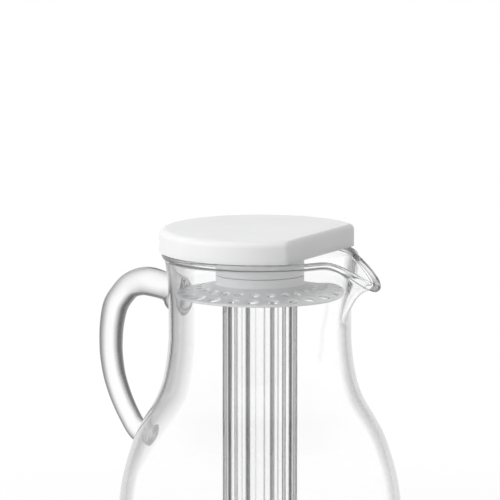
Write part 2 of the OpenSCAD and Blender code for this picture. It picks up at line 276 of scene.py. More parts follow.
def rounded(corners, steps=5, closed=False):
    """An outline of (r, z) from corners of (r, z, rounding)."""
    p = np.array([corner[:2] for corner in corners], float)
    out = []
    for i, q in enumerate(p):
        r = corners[i][2]
        if r == 0 or (not closed and i in (0, len(p) - 1)):
            out.append(q)
            continue
        a, b = p[i - 1] - q, p[(i + 1) % len(p)] - q
        la, lb = np.linalg.norm(a), np.linalg.norm(b)
        a, b = a / la, b / lb
        r = min(r, 0.49 * la, 0.49 * lb)
        for t in np.linspace(0, 1, steps + 1):
            out.append(q + a * r * (1 - t) ** 2 + b * r * t**2)
    return np.array(out)


def soft_step(x, low, high):
    """From 0 at low to 1 at high, level at both ends."""
    t = np.clip((x - low) / (high - low), 0, 1)
    return t * t * (3 - 2 * t)


def soft_min(a, b, width):
    """The smaller of two values, with a round passage where they are nearly the same."""
    h = np.clip(0.5 + 0.5 * (b - a) / width, 0, 1)
    return b * (1 - h) + a * h - width * h * (1 - h)


def add_object(name, verts, faces, body, nodes, material):
    """A smooth mesh from vertices in millimetres, which moves with a body in place of CAD nodes."""
    mesh = bpy.data.meshes.new(name)
    mesh.from_pydata([tuple(v) for v in np.asarray(verts) * MM], [], faces)
    bm = bmesh.new()
    bm.from_mesh(mesh)
    bmesh.ops.remove_doubles(bm, verts=bm.verts, dist=1e-7)
    bmesh.ops.recalc_face_normals(bm, faces=bm.faces)
    bm.to_mesh(mesh)
    bm.free()
    mesh.polygons.foreach_set("use_smooth", [True] * len(mesh.polygons))
    mesh.materials.append(material)
    obj = bpy.data.objects.new(name, mesh)
    bpy.context.scene.collection.objects.link(obj)
    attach(obj, body)
    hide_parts(*nodes)
    return obj


def use_second_material(obj, rows, cols):
    """Gives rows of a grid, cols faces each, the object's second material."""
    for i in rows:
        for j in range(cols):
            obj.data.polygons[i * cols + j].material_index = 1


def sheet_of(points, closed_rows=False):
    """Vertices and faces of a grid, rows x columns x 3, closed round its columns."""
    rows, cols = points.shape[:2]
    verts = points.reshape(-1, 3)
    faces = []
    for i in range(rows if closed_rows else rows - 1):
        a, b = i * cols, (i + 1) % rows * cols
        for j in range(cols):
            k = (j + 1) % cols
            faces.append((a + j, a + k, b + k, b + j))
    return verts, faces


def closed_sheet(grid, first, last):
    """A grid whose first and last row are closed with a fan to one point each."""
    rows, cols = grid.shape[:2]
    verts, faces = sheet_of(grid)
    verts = np.vstack([verts, [first], [last]])
    n = rows * cols
    for j in range(cols):
        k = (j + 1) % cols
        faces.append((n, k, j))
        faces.append((n + 1, (rows - 1) * cols + j, (rows - 1) * cols + k))
    return verts, faces


def round_steps(cols):
    """Angles of cols steps round a circle, in radians."""
    return np.arange(cols) / cols * TAU


def lathe(line, angles):
    """A grid from an outline (r, z) and angles in radians."""
    line = np.asarray(line)
    r, z = line[:, 0][:, None], line[:, 1][:, None]
    return np.stack([r * np.cos(angles), r * np.sin(angles), z + 0 * angles], -1)


def joined(parts):
    """One list of vertices and one of faces from several meshes."""
    verts, faces, count = [], [], 0
    for v, f in parts:
        verts.append(v)
        faces += [tuple(i + count for i in face) for face in f]
        count += len(v)
    return np.vstack(verts), faces


# Helpers for materials
def new_material(name):
    mat = bpy.data.materials.new(name)
    mat.use_nodes = True
    tree = mat.node_tree
    return mat, tree, tree.nodes["Principled BSDF"]


def noise(tree, scale, detail, rough=0.5, stretch=(1, 1, 1)):
    """Noise in the object's own coordinates."""
    where = tree.nodes.new("ShaderNodeTexCoord")
    place = tree.nodes.new("ShaderNodeMapping")
    place.inputs["Scale"].default_value = stretch
    tex = tree.nodes.new("ShaderNodeTexNoise")
    tex.inputs["Scale"].default_value = scale
    tex.inputs["Detail"].default_value = detail
    tex.inputs["Roughness"].default_value = rough
    tree.links.new(where.outputs["Object"], place.inputs["Vector"])
    tree.links.new(place.outputs["Vector"], tex.inputs["Vector"])
    return tex.outputs["Fac"]


def ramp(tree, value, stops):
    """A ramp from a value, with stops of (place, grey) or (place, colour)."""
    node = tree.nodes.new("ShaderNodeValToRGB")
    elements = node.color_ramp.elements
    while len(elements) < len(stops):
        elements.new(0.5)
    for e, (at, c) in zip(elements, stops):
        e.position = at
        e.color = (c, c, c, 1) if isinstance(c, (int, float)) else (*c, 1)
    tree.links.new(value, node.inputs["Fac"])
    return node.outputs["Color"]


def bump(tree, height, strength, distance):
    node = tree.nodes.new("ShaderNodeBump")
    node.inputs["Strength"].default_value = strength
    node.inputs["Distance"].default_value = distance
    tree.links.new(height, node.inputs["Height"])
    return node.outputs["Normal"]


def calc(tree, kind, *values):
    """A Math node of a kind; each value is a number or another node's output."""
    node = tree.nodes.new("ShaderNodeMath")
    node.operation = kind
    for socket, value in zip(node.inputs, values):
        if isinstance(value, (int, float)):
            socket.default_value = value
        else:
            tree.links.new(value, socket)
    return node.outputs[0]


def along(tree, source, direction):
    """How far an object coordinate or the normal points in a direction, and none against it."""
    where = tree.nodes.new("ShaderNodeTexCoord")
    node = tree.nodes.new("ShaderNodeVectorMath")
    node.operation = "DOT_PRODUCT"
    tree.links.new(where.outputs[source], node.inputs[0])
    node.inputs[1].default_value = direction
    return calc(tree, "MAXIMUM", node.outputs["Value"], 0.0)


def shader_of(tree, kind, colour=(1, 1, 1), strength=None):
    """A plain shader of one colour, such as Diffuse or Emission."""
    node = tree.nodes.new("ShaderNode" + kind)
    node.inputs["Color"].default_value = (*colour, 1)
    if strength is not None:
        node.inputs["Strength"].default_value = strength
    return node.outputs[0]


def mixed(tree, share, first, second):
    """A mix of two shaders: the second one where share is 1."""
    node = tree.nodes.new("ShaderNodeMixShader")
    tree.links.new(share, node.inputs["Fac"])
    tree.links.new(first, node.inputs[1])
    tree.links.new(second, node.inputs[2])
    return node.outputs[0]


# Clear material: its index, the tints of its shadow and of rays left after many reflections, and its gloss
CLEAR_IOR = 1.49
SHADOW_TINT = (0.9, 0.91, 0.92)
DEEP_TINT = (0.74, 0.745, 0.75)
DEEP_FROM = 2.5
CLEAR_GLOSS = [(0.35, 0.0), (0.75, 0.012)]
GLOSS_NOISE = (60, 3)
RIPPLE_DETAIL = 2
RIPPLE_ROUGH = 0.4


def clear_material(name, edge, wave, wave_scale, stretch=(1, 1, 1), shade=None, ribs=None):
    """Clear glass or plastic, with painted shade in its colour. edge is how dark it is painted where it
    turns away, as stops of a ramp.

    A ray that the renderer would drop as black after too many reflections goes straight on, tinted.
    """
    mat, tree, shader = new_material(name)
    shader.inputs["Transmission Weight"].default_value = 1
    shader.inputs["IOR"].default_value = CLEAR_IOR
    weight = tree.nodes.new("ShaderNodeLayerWeight")
    weight.inputs["Blend"].default_value = 0.5
    facing = weight.outputs["Facing"]
    if shade:
        facing = shade(tree, facing)
    # Painted shade: the colour gets darker where the surface turns away, times the painted rib lines where
    # given
    painted_shade = ramp(tree, facing, edge)
    if ribs:
        both = tree.nodes.new("ShaderNodeMix")
        both.data_type = "RGBA"
        both.blend_type = "MULTIPLY"
        both.inputs["Factor"].default_value = 1
        tree.links.new(painted_shade, both.inputs["A"])
        tree.links.new(ribs(tree, facing), both.inputs["B"])
        painted_shade = both.outputs["Result"]
    tree.links.new(painted_shade, shader.inputs["Base Color"])
    tree.links.new(ramp(tree, noise(tree, *GLOSS_NOISE), CLEAR_GLOSS), shader.inputs["Roughness"])
    ripple = noise(tree, wave_scale, RIPPLE_DETAIL, RIPPLE_ROUGH, stretch)
    tree.links.new(bump(tree, ripple, wave, MM), shader.inputs["Normal"])
    path = tree.nodes.new("ShaderNodeLightPath")
    is_deep = calc(tree, "GREATER_THAN", path.outputs["Glossy Depth"], DEEP_FROM)
    solid = mixed(tree, is_deep, shader.outputs["BSDF"], shader_of(tree, "BsdfTransparent", DEEP_TINT))
    thin = shader_of(tree, "BsdfTransparent", SHADOW_TINT)
    whole = mixed(tree, path.outputs["Is Shadow Ray"], solid, thin)
    tree.links.new(whole, tree.nodes["Material Output"].inputs["Surface"])
    return mat


# Painted shade of the clear pieces, by where a surface points or lies in the part's own x, y and z
SIDE_WAY = (0.88, 0.47)
SIDE_SHARES = ((-1, 0.47), (1, 0.2))
SIDE_RAMP_PER_M = 50
SIDE_MOST = 0.86
WALL_RISE = [(0.4, 0.2), (0.62, 1.0)]
ROD_WAY = (0.8, 0.43, -0.42)
ROD_SIDE = [(0.55, 0.66), (0.9, 0.1)]
ROD_TOP_LIGHT = -0.35
ROD_SHARE = 0.8
TIP_FADE = [(0.7, 1.0), (0.85, 0.6)]
TIP_PER_M = 10
MOUTH_FAR_WAY = (-0.46, 0.87)
MOUTH_DARK = 0.36
MOUTH_FAR_LIGHT = -0.25
MOUTH_FOOT_LIGHT = -0.6
MOUTH_FOOT_H = 0.7
MOUTH_LIP_H = 1.1
CREST_OUT = 0.35
CREST_FROM = 0.6
RIB_WAY = (-0.8, -0.42, 0)
RIB_SIDES = [(0.0, 0.25), (0.03, 0.45), (0.1, 0.8), (0.3, 1.0), (0.6, 1.0), (0.8, 0.4)]
RIB_LINE = [(0.4, 1.0), (1.0, 0.0)]
RIB_WIDTH = 0.17
RIB_WIDTH_LEAST = 0.01
RIB_FROM = 5
RIB_TO = 2.9
RIB_SHADE_GREYS = [(0.0, 1.0), (0.3, 0.5), (1.0, 0.012)]


def rod_shade(tree, facing):
    """The rod's side towards the pitcher and its underside are dim, and its top and back are light."""
    lit = calc(tree, "MULTIPLY_ADD", along(tree, "Normal", (0, 0, 1)), ROD_TOP_LIGHT, ROD_SHARE)
    side = ramp(tree, along(tree, "Normal", (0, 1, 0)), ROD_SIDE)
    dim = calc(tree, "MULTIPLY", along(tree, "Normal", ROD_WAY), side)
    return calc(tree, "ADD", calc(tree, "MULTIPLY", facing, lit), dim)


def wall_shade(tree, facing):
    """The wall gets darker further in from its edge at the neck, and most of all on the handle's side."""
    high = ramp(tree, along(tree, "Object", (0, 0, 1 / (PITCHER_H * MM))), WALL_RISE)
    wx, wy = SIDE_WAY
    total = facing
    for side, share in SIDE_SHARES:
        off_axis = along(tree, "Object", (wx * SIDE_RAMP_PER_M * side, wy * SIDE_RAMP_PER_M * side, 0))
        turned = along(tree, "Normal", (wx * side * share, wy * side * share, 0))
        dim = calc(tree, "MULTIPLY", turned, calc(tree, "MINIMUM", off_axis, 1.0))
        total = calc(tree, "MULTIPLY_ADD", dim, high, total)
    return calc(tree, "MAXIMUM", facing, calc(tree, "MINIMUM", total, SIDE_MOST))


def bead_shade(tree, facing):
    """The bead is lighter at the tip of the spout. The fade runs over x in units of 100 mm."""
    tip = ramp(tree, along(tree, "Object", (TIP_PER_M, 0, 0)), TIP_FADE)
    return calc(tree, "MULTIPLY", facing, tip)


def object_place(tree):
    """A point's x, y, z and distance from the z axis, in metres."""
    where = tree.nodes.new("ShaderNodeTexCoord")
    split = tree.nodes.new("ShaderNodeSeparateXYZ")
    tree.links.new(where.outputs["Object"], split.inputs[0])
    x, y, z = split.outputs
    squares = calc(tree, "ADD", calc(tree, "POWER", x, 2.0), calc(tree, "POWER", y, 2.0))
    return x, y, z, calc(tree, "POWER", squares, 0.5)


def mouth_shade(tree, facing):
    """The lip and the crest of the thread are darker, and the foot of the mouth is lighter."""
    z, radius = object_place(tree)[2:]
    crest = calc(tree, "GREATER_THAN", radius, (MOUTH_R + CREST_OUT) * MM)
    above = calc(tree, "GREATER_THAN", z, (CORE_TOP_Z - MOUTH_H + CREST_FROM) * MM)
    lip = calc(tree, "GREATER_THAN", z, (CORE_TOP_Z - MOUTH_LIP_H) * MM)
    marked = calc(tree, "MAXIMUM", calc(tree, "MULTIPLY", crest, above), lip)
    fx, fy = MOUTH_FAR_WAY
    far = along(tree, "Object", (fx / (MOUTH_R * MM), fy / (MOUTH_R * MM), 0))
    dark = calc(tree, "MULTIPLY", marked, calc(tree, "MULTIPLY_ADD", far, MOUTH_FAR_LIGHT, MOUTH_DARK))
    from_foot = calc(tree, "ABSOLUTE", calc(tree, "SUBTRACT", z, (CORE_TOP_Z - MOUTH_H) * MM))
    at_foot = calc(tree, "LESS_THAN", from_foot, MOUTH_FOOT_H * MM)
    light = calc(tree, "MULTIPLY_ADD", at_foot, MOUTH_FOOT_LIGHT, 1.0)
    return calc(tree, "MULTIPLY_ADD", facing, light, dark)


def rib_shade_lines(tree, facing):
    """Painted shade: dark lines along the ribs between the flutes, where the wall is thickest, wider
    towards the sides.
    """
    x, y, z, radius = object_place(tree)
    azimuth = calc(tree, "ARCTAN2", y, x)
    turn = calc(tree, "MULTIPLY", calc(tree, "SUBTRACT", azimuth, FLUTE_TURN), FLUTES / TAU)
    side = calc(tree, "ADD", ramp(tree, facing, RIB_SIDES), along(tree, "Normal", RIB_WAY))
    side = calc(tree, "MINIMUM", side, 1.0)
    width = calc(tree, "MULTIPLY_ADD", side, RIB_WIDTH, RIB_WIDTH_LEAST)
    line = ramp(tree, calc(tree, "DIVIDE", calc(tree, "PINGPONG", turn, 0.5), width), RIB_LINE)
    low = (CORE_Z + RIB_FROM) * MM
    high = (CORE_TOP_Z - MOUTH_H - RIB_TO) * MM
    off_middle = calc(tree, "ABSOLUTE", calc(tree, "SUBTRACT", z, (low + high) / 2))
    outside = calc(tree, "GREATER_THAN", radius, (CORE_BORE_R + CORE_R) / 2 * MM)
    inside = calc(tree, "MULTIPLY", calc(tree, "LESS_THAN", off_middle, (high - low) / 2), outside)
    dark = calc(tree, "MULTIPLY", calc(tree, "MULTIPLY", line, side), inside)
    return ramp(tree, dark, RIB_SHADE_GREYS)


# Moulded and rubber pieces: noises of (scale, detail), the part of a noise in use, and depths of the grain
PLASTIC_IOR = 1.48
COAT_ROUGH = 0.12
PLASTIC_NOISES = (35, 4), (220, 4), (900, 2)
PLASTIC_GRAIN_H = 0.04 * MM
SEAL_NOISES = (80, 3), (300, 3), (1800, 2)
SEAL_GRAIN = 0.2
SEAL_GRAIN_H = 0.2 * MM
SEAL_GREYS = (0.74, 0.74, 0.72), (0.8, 0.8, 0.78)
SEAL_ROUGH = 0.42, 0.56
SEAL_GLOW = 0.3
SEAL_GLOW_R = 2 * MM
NOISE_LOW = 0.3
NOISE_HIGH = 0.7


def grained_material(name, noises, greys, rough, grain, grain_h):
    """A material whose grey and gloss vary a little, with a fine grain; greys and rough have two ends."""
    mat, tree, shader = new_material(name)
    colour_noise, gloss_noise, grain_noise = noises
    for kind, ends, socket in ((colour_noise, greys, "Base Color"), (gloss_noise, rough, "Roughness")):
        stops = [(NOISE_LOW, ends[0]), (NOISE_HIGH, ends[1])]
        tree.links.new(ramp(tree, noise(tree, *kind), stops), shader.inputs[socket])
    tree.links.new(bump(tree, noise(tree, *grain_noise), grain, grain_h), shader.inputs["Normal"])
    return mat, shader


def plastic_material(name, greys, rough, grain, coat=0.0):
    """Moulded plastic, with a coat if it is glossy."""
    mat, shader = grained_material(name, PLASTIC_NOISES, greys, rough, grain, PLASTIC_GRAIN_H)
    shader.inputs["IOR"].default_value = PLASTIC_IOR
    shader.inputs["Coat Weight"].default_value = coat
    shader.inputs["Coat Roughness"].default_value = COAT_ROUGH
    return mat


def seal_material():
    """Silicone: a little rougher and softer in light than the plastic."""
    grain = SEAL_GRAIN, SEAL_GRAIN_H
    mat, shader = grained_material("seal_rubber", SEAL_NOISES, SEAL_GREYS, SEAL_ROUGH, *grain)
    shader.inputs["Subsurface Weight"].default_value = SEAL_GLOW
    shader.inputs["Subsurface Radius"].default_value = [SEAL_GLOW_R] * 3
    shader.inputs["Subsurface Scale"].default_value = 1.0
    return mat


# Painted dark edges of the clear pieces: how far the surface turns away, and how light it is painted there
WALL_EDGE = [(0.0, 1.0), (0.63, 1.0), (0.67, 0.8), (0.8, 0.5), (0.9, 0.3), (1.0, 0.08)]
BEAD_EDGE = [(0.0, 1.0), (0.2, 0.97), (0.31, 0.38), (0.54, 0.14), (0.77, 0.04), (1.0, 0.04)]
ROD_EDGE = [(0.0, 1.0), (0.1, 0.95), (0.2, 0.6), (0.3, 0.32), (0.45, 0.07), (0.6, 0.015), (0.85, 0.02),
            (1.0, 0.07)]
ROOT_EDGE = [(0.0, 1.0), (0.2, 0.9), (0.4, 0.55), (0.7, 0.3), (1.0, 0.15)]
CORE_EDGE = [(0.0, 1.0), (0.3, 1.0), (0.5, 0.6), (0.6, 0.2), (0.8, 0.45), (1.0, 0.1)]
MOUTH_EDGE = [(0.0, 1.0), (0.25, 0.93), (0.42, 0.5), (0.6, 0.18), (1.0, 0.16)]
body_glass = clear_material("clear_wall", WALL_EDGE, wave=0.12, wave_scale=14, shade=wall_shade)
bead_glass = clear_material("clear_bead", BEAD_EDGE, wave=0.12, wave_scale=14, shade=bead_shade)
rod_glass = clear_material("clear_handle", ROD_EDGE, wave=0.1, wave_scale=30, shade=rod_shade)
root_glass = clear_material("clear_root", ROOT_EDGE, wave=0.5, wave_scale=70)
mouth_glass = clear_material("clear_mouth", MOUTH_EDGE, wave=0.1, wave_scale=30, shade=mouth_shade)
core_glass = clear_material("clear_core", CORE_EDGE, wave=0.1, wave_scale=26, stretch=(1, 1, 0.12),
                            ribs=rib_shade_lines)

# White pieces: the neck and the strainer are of one plastic, and the cover is lighter and glossier
COVER_GREYS = (0.79, 0.79, 0.795), (0.82, 0.82, 0.825)
NECK_GREYS = (0.77, 0.77, 0.775), (0.8, 0.8, 0.805)
COVER_ROUGH = 0.3, 0.36
NECK_ROUGH = 0.38, 0.46
white_cover = plastic_material("white_cover", COVER_GREYS, COVER_ROUGH, grain=0.03, coat=0.1)
white_neck = plastic_material("white_neck", NECK_GREYS, NECK_ROUGH, grain=0.05)
white_strainer = plastic_material("white_strainer", NECK_GREYS, NECK_ROUGH, grain=0.05)
seal_rubber = seal_material()


# The pitcher's body: one closed skin from the middle of the foot over the rim to the middle of the floor
def belly_line(foot_r, side_r, low_z):
    """Outline of the belly and shoulder up to where the spout begins."""
    a = np.linspace(0, QUARTER, BELLY_STEPS)
    low = np.stack([foot_r + (side_r - foot_r) * np.sin(a), BELLY_Z - (BELLY_Z - low_z) * np.cos(a)], -1)
    s = smooth_line(SHOULDER, SHOULDER_STEPS)[1:]
    high_r = side_r - (BELLY_R - NECK_R) * (1 - s[:, 1])
    high = np.stack([high_r, BELLY_Z + (NECK_Z - BELLY_Z) * s[:, 0]], -1)
    top = [[high[-1, 0], z] for z in np.linspace(NECK_Z, JOIN_Z, NECK_STEPS)[1:]]
    return np.vstack([low, high, top])


OUTER = belly_line(BASE_R, BELLY_R, 0)
INNER = belly_line(BASE_R - WALL_T, BELLY_R - WALL_T, FLOOR_T)


def rim_sections(angles):
    """Outline of the rim at each angle: outer side upwards, bead, inner side downwards."""
    a = np.abs(angles)
    swing = np.where(a < SPOUT_HALF, 0.5 + 0.5 * np.cos(np.pi * a / SPOUT_HALF), 0)
    reach, drop = swing**REACH_POWER, swing**DROP_POWER
    tip = np.stack([RIM_MID_R + SPOUT_REACH * reach, BEAD_Z - SPOUT_DROP * drop], -1)
    bead = BEAD_R + (LIP_R - BEAD_R) * reach
    curl = CURL_RIM * (1 - reach) + CURL_SPOUT * reach
    one = np.ones_like(a)
    control = np.stack([
        np.stack([WALL_MID_R * one, JOIN_Z * one], -1),
        np.stack([WALL_MID_R * one, (JOIN_Z + SWELL_FROM * SPOUT_DEPTH) * one], -1),
        np.stack([WALL_MID_R + SPOUT_SWELL * reach, (JOIN_Z + SWELL_FULL * SPOUT_DEPTH) * one], -1),
        np.stack([WALL_MID_R + SPOUT_LEAN * SPOUT_REACH * reach, tip[:, 1] - curl], -1),
        tip,
    ], 1)
    t = np.linspace(0, BEAD_FROM, RIM_STEPS + 1)[1:]
    middle = on_bezier(control, t)
    way = on_bezier(np.diff(control, axis=1), t)
    way /= np.linalg.norm(way, axis=-1, keepdims=True)
    side = np.stack([way[..., 1], -way[..., 0]], -1) * WALL_T / 2
    last = on_bezier(np.diff(control, axis=1), np.array([1.0]))[:, 0]
    half = np.arcsin(WALL_T / 2 / bead)
    start = np.arctan2(-last[:, 0], last[:, 1]) - QUARTER + half
    turn_by = TAU - 2 * half
    g = start[:, None] + turn_by[:, None] * np.linspace(0, 1, BEAD_STEPS)
    ball = tip[:, None, :] + bead[:, None, None] * np.stack([np.cos(g), np.sin(g)], -1)
    return np.concatenate([middle + side, ball, (middle - side)[:, ::-1]], 1)


def make_body():
    near = SPOUT_HALF * (np.linspace(-1, 1, SPOUT_COLS + 1)[:-1])
    rest = SPOUT_HALF + (360 - 2 * SPOUT_HALF) * np.arange(REST_COLS) / REST_COLS
    angles = np.concatenate([near, rest])
    rim = rim_sections(np.where(angles > 180, 360 - angles, angles))
    foot = np.array(FOOT_LINE)
    floor = np.array([(r, FLOOR_T - dip) for r, dip in FLOOR_DIP])
    low = np.repeat(np.vstack([foot, OUTER])[None], len(angles), 0)
    high = np.repeat(np.vstack([INNER[::-1], floor])[None], len(angles), 0)
    section = np.concatenate([low, rim, high], 1)
    r, z = section[..., 0], section[..., 1]
    rad = np.radians(angles)[:, None]
    grid = np.stack([r * np.cos(rad), r * np.sin(rad), z], -1).transpose(1, 0, 2)
    verts, faces = closed_sheet(grid, (0, 0, foot[0, 1]), (0, 0, floor[-1, 1]))
    obj = add_object("body_shell", verts, faces, "pitcher", ["pitcher_body"], body_glass)
    obj.data.materials.append(bead_glass)
    first = len(foot) + len(OUTER) + RIM_STEPS
    use_second_material(obj, range(first, first + BEAD_STEPS - 1), len(angles))


def wall_r(z):
    """Outer radius of the wall at a height, from the belly up to the plain neck."""
    return np.where(z > JOIN_Z, NECK_R, np.interp(z, OUTER[:, 1], OUTER[:, 0]))


# The handle: a rod cut off where it meets the wall, with root faces that follow the wall
def rod_rows():
    """The rod's rows from wall to wall. Each of its sides is cut at its own crossing with the wall."""
    place = []
    for out, down in HANDLE_LINE:
        place.append((-(NECK_R + HANDLE_REACH * out), PITCHER_H - HANDLE_TOP - HANDLE_SPAN * down))
    line = smooth_line(place, HANDLE_STEPS)
    girth = smooth_line(np.array(HANDLE_GIRTH) * HANDLE_D / 2, HANDLE_STEPS)
    way = np.gradient(line, axis=0)
    way /= np.linalg.norm(way, axis=1, keepdims=True)
    across = np.stack([-way[:, 1], way[:, 0]], -1)
    a = round_steps(HANDLE_SIDES)
    x = line[:, :1] + across[:, :1] * girth[:, :1] * np.cos(a)
    z = line[:, 1:] + across[:, 1:] * girth[:, :1] * np.cos(a)
    y = girth[:, 1:] * np.sin(a)
    rod = np.stack([x, y, z], -1)
    off = np.hypot(x, y) - wall_r(z) - ROOT_GAP
    steps = np.linspace(0, 1, HANDLE_ROWS + 1)
    rows = np.zeros((len(steps), HANDLE_SIDES, 3))
    count = len(line)
    for k in range(HANDLE_SIDES):
        f = off[:, k]
        i = max(j for j in range(count // 3) if f[j] < 0)
        first = i + f[i] / (f[i] - f[i + 1])
        below = [j for j in range(2 * count // 3, count) if f[j] < 0]
        j = min(below) if below else count - 1
        last = j - 1 + f[j - 1] / (f[j - 1] - f[j])
        at = first + (last - first) * steps
        for c in range(3):
            rows[:, k, c] = np.interp(at, np.arange(count), rod[:, k, c])
    return rows


def root_rings(ring):
    """Rings from the rod's end in to its middle, all laid on the wall."""
    centre = ring.mean(0)
    levels = []
    for share in ROOT_RINGS:
        p = centre + (ring - centre) * share
        r = np.hypot(p[:, 0], p[:, 1])
        want = wall_r(p[:, 2]) + ROOT_GAP
        p[:, 0] *= want / r
        p[:, 1] *= want / r
        levels.append(p)
    return levels


def make_handle():
    rows = rod_rows()
    grid = np.array([*root_rings(rows[0])[::-1], *rows, *root_rings(rows[-1])])
    verts, faces = closed_sheet(grid, grid[0].mean(0), grid[-1].mean(0))
    obj = add_object("handle_rod", verts, faces, "pitcher", ["handle"], rod_glass)
    obj.data.materials.append(root_glass)
    inner, last = len(ROOT_RINGS), len(grid) - 1
    use_second_material(obj, [*range(inner), *range(last - inner, last)], HANDLE_SIDES)
    for face in obj.data.polygons[last * HANDLE_SIDES :]:
        face.material_index = 1


# The core tube: flutes, shoulder, threaded mouth and bore as one closed skin
def core_outline(low, high, shoulder_z):
    """The tube's outline from the middle of its underside over the lip to the middle of its floor."""
    floor_z = CORE_Z + CORE_FLOOR_T
    line = [(r, CORE_Z + up) for r, up in GATE_LINE]
    for t in np.linspace(0, QUARTER, HEEL_ROWS):
        line.append((CORE_R - CORE_HEEL_R + CORE_HEEL_R * math.sin(t),
                     CORE_Z + CORE_HEEL_R - CORE_HEEL_R * math.cos(t)))
    line += [(CORE_R, z) for z in np.linspace(low - FLUTE_END, low + RISE_ROWS_TO, RISE_ROWS)]
    line += [(CORE_R, z) for z in np.linspace(low + WALL_ROWS_FROM, high - WALL_ROWS_TO, WALL_ROWS)]
    line += [(CORE_R, z) for z in np.linspace(high - FLUTE_END, high, END_ROWS)]
    for t in np.linspace(0, SHOULDER_DRAWN, SHOULDER_ROWS):
        line.append((CORE_R - t * (CORE_R - MOUTH_R), high + t * SHOULDER_H))
    line += [(MOUTH_R, z) for z in np.linspace(shoulder_z, CORE_TOP_Z - TUBE_LIP_H, MOUTH_ROWS)]
    for t in np.linspace(0, 1, LIP_ROWS)[1:-1]:
        rise = TUBE_LIP_RISE * math.sin(math.pi * t) ** TUBE_LIP_FULL
        line.append((MOUTH_R + rise, CORE_TOP_Z - TUBE_LIP_H + TUBE_LIP_RUN * t))
    line += [(MOUTH_R - inset, CORE_TOP_Z - down) for inset, down in TUBE_LIP_OUTER]
    line += [(CORE_BORE_R + out, CORE_TOP_Z - down) for out, down in TUBE_LIP_INNER]
    bore = np.linspace(CORE_TOP_Z - BORE_FROM, floor_z + CORE_HEEL_R, BORE_ROWS)
    line += [(CORE_BORE_R, z) for z in bore]
    for t in np.linspace(0, QUARTER, HEEL_ROWS)[1:]:
        line.append((CORE_BORE_R - CORE_HEEL_R + CORE_HEEL_R * math.cos(t),
                     floor_z + CORE_HEEL_R - CORE_HEEL_R * math.sin(t)))
    line += [(r, floor_z + up) for r, up in CORE_FLOOR_LINE]
    return np.array(line)


def fluted_radius(a):
    """Radius of the fluted wall at each angle, with soft edges between flutes and ribs."""
    pitch = TAU / FLUTES
    off = np.abs(((a - FLUTE_TURN) % pitch) - pitch / 2)
    far = CORE_R - FLUTE_DEPTH + FLUTE_CUT_R
    hollow = far * np.cos(off) - np.sqrt(FLUTE_CUT_R**2 - (far * np.sin(off)) ** 2)
    return soft_min(np.full(len(a), CORE_R), hollow, FLUTE_SOFT)


def thread_ridge(a, z):
    """How far the thread stands out at each height and angle."""
    top = CORE_TOP_Z - THREAD_TOP
    ridge = np.zeros((len(z), len(a)))
    for k in range(math.ceil(THREAD_TURNS)):
        s = (a + TAU * k) / (TAU * THREAD_TURNS)
        fade = np.clip(np.minimum(s, 1 - s) / THREAD_FADE, 0, 1)
        centre = top - THREAD_PITCH * THREAD_TURNS * (1 - s)
        d = np.abs(z - centre)
        ridge = np.maximum(ridge, (1 - soft_step(d, THREAD_CREST, THREAD_FOOT)) * fade * THREAD_RISE)
    return ridge


def make_core():
    a = round_steps(CORE_COLS)
    shoulder_z = CORE_TOP_Z - MOUTH_H
    low, high = CORE_Z + FLUTE_FOOT, shoulder_z - SHOULDER_H
    line = core_outline(low, high, shoulder_z)
    grid = lathe(line, a)
    r = np.repeat(line[:, :1], CORE_COLS, 1)
    z = line[:, 1][:, None]
    begin = soft_step(z, low - FLUTE_END, low + FLUTE_RISE)
    end = soft_step(z, high - FLUTE_END, high)
    outside = (np.abs(line[:, 0] - CORE_R) < SAME_R)[:, None]
    r = np.where(outside, r + (fluted_radius(a) - CORE_R) * (begin * (1 - end)), r)
    mouth = (np.abs(line[:, 0] - MOUTH_R) < SAME_R)[:, None]
    r = np.where(mouth, r + thread_ridge(a, z), r)
    grid[..., 0], grid[..., 1] = r * np.cos(a), r * np.sin(a)
    verts, faces = closed_sheet(grid, (0, 0, line[0, 1]), (0, 0, line[-1, 1]))
    obj = add_object("core_skin", verts, faces, "core", ["core_tube"], core_glass)
    obj.data.materials.append(mouth_glass)
    plain = []
    for i in range(len(line) - 1):
        ends = line[i, 1], line[i + 1, 1]
        if min(ends) >= high or max(ends) < CORE_Z + CORE_HEEL_R:
            plain.append(i)
    use_second_material(obj, plain, CORE_COLS)


# The seal ring in the neck
def make_seal():
    outer = SLEEVE_BORE_R - SEAL_GAP
    inner = outer - SEAL_W
    top_z = SEAL_Z + SEAL_T
    line = rounded([(inner, SEAL_Z, SEAL_ROUND), (outer, SEAL_Z, SEAL_ROUND), (outer, top_z, SEAL_ROUND),
                    (inner, top_z, SEAL_ROUND)], closed=True)
    verts, faces = sheet_of(lathe(line, round_steps(SEAL_COLS)), closed_rows=True)
    add_object("seal_ring", verts, faces, "lid", ["core_seal"], seal_rubber)


# The strainer: a cone with a collar and two rows of holes with rounded edges
def cone_z(r):
    """Height of the strainer's upper side at a radius."""
    slope = (ROOT_Z - EDGE_Z) / (STRAINER_R - LID_NECK_R)
    return ROOT_Z - slope * (r - LID_NECK_R)


def cell_border(lo, hi, sector):
    """Points round a cell of the cone between two radii, centred on the x axis."""
    t = np.arange(CELL_STEPS) / CELL_STEPS
    side = np.full(CELL_STEPS, sector / 2)
    phi = np.concatenate([(t - 0.5) * sector, side, (0.5 - t) * sector, -side])
    rr = np.concatenate([np.full(CELL_STEPS, lo), lo + (hi - lo) * t, np.full(CELL_STEPS, hi),
                         hi - (hi - lo) * t])
    return np.stack([rr * np.cos(phi), rr * np.sin(phi)], -1)


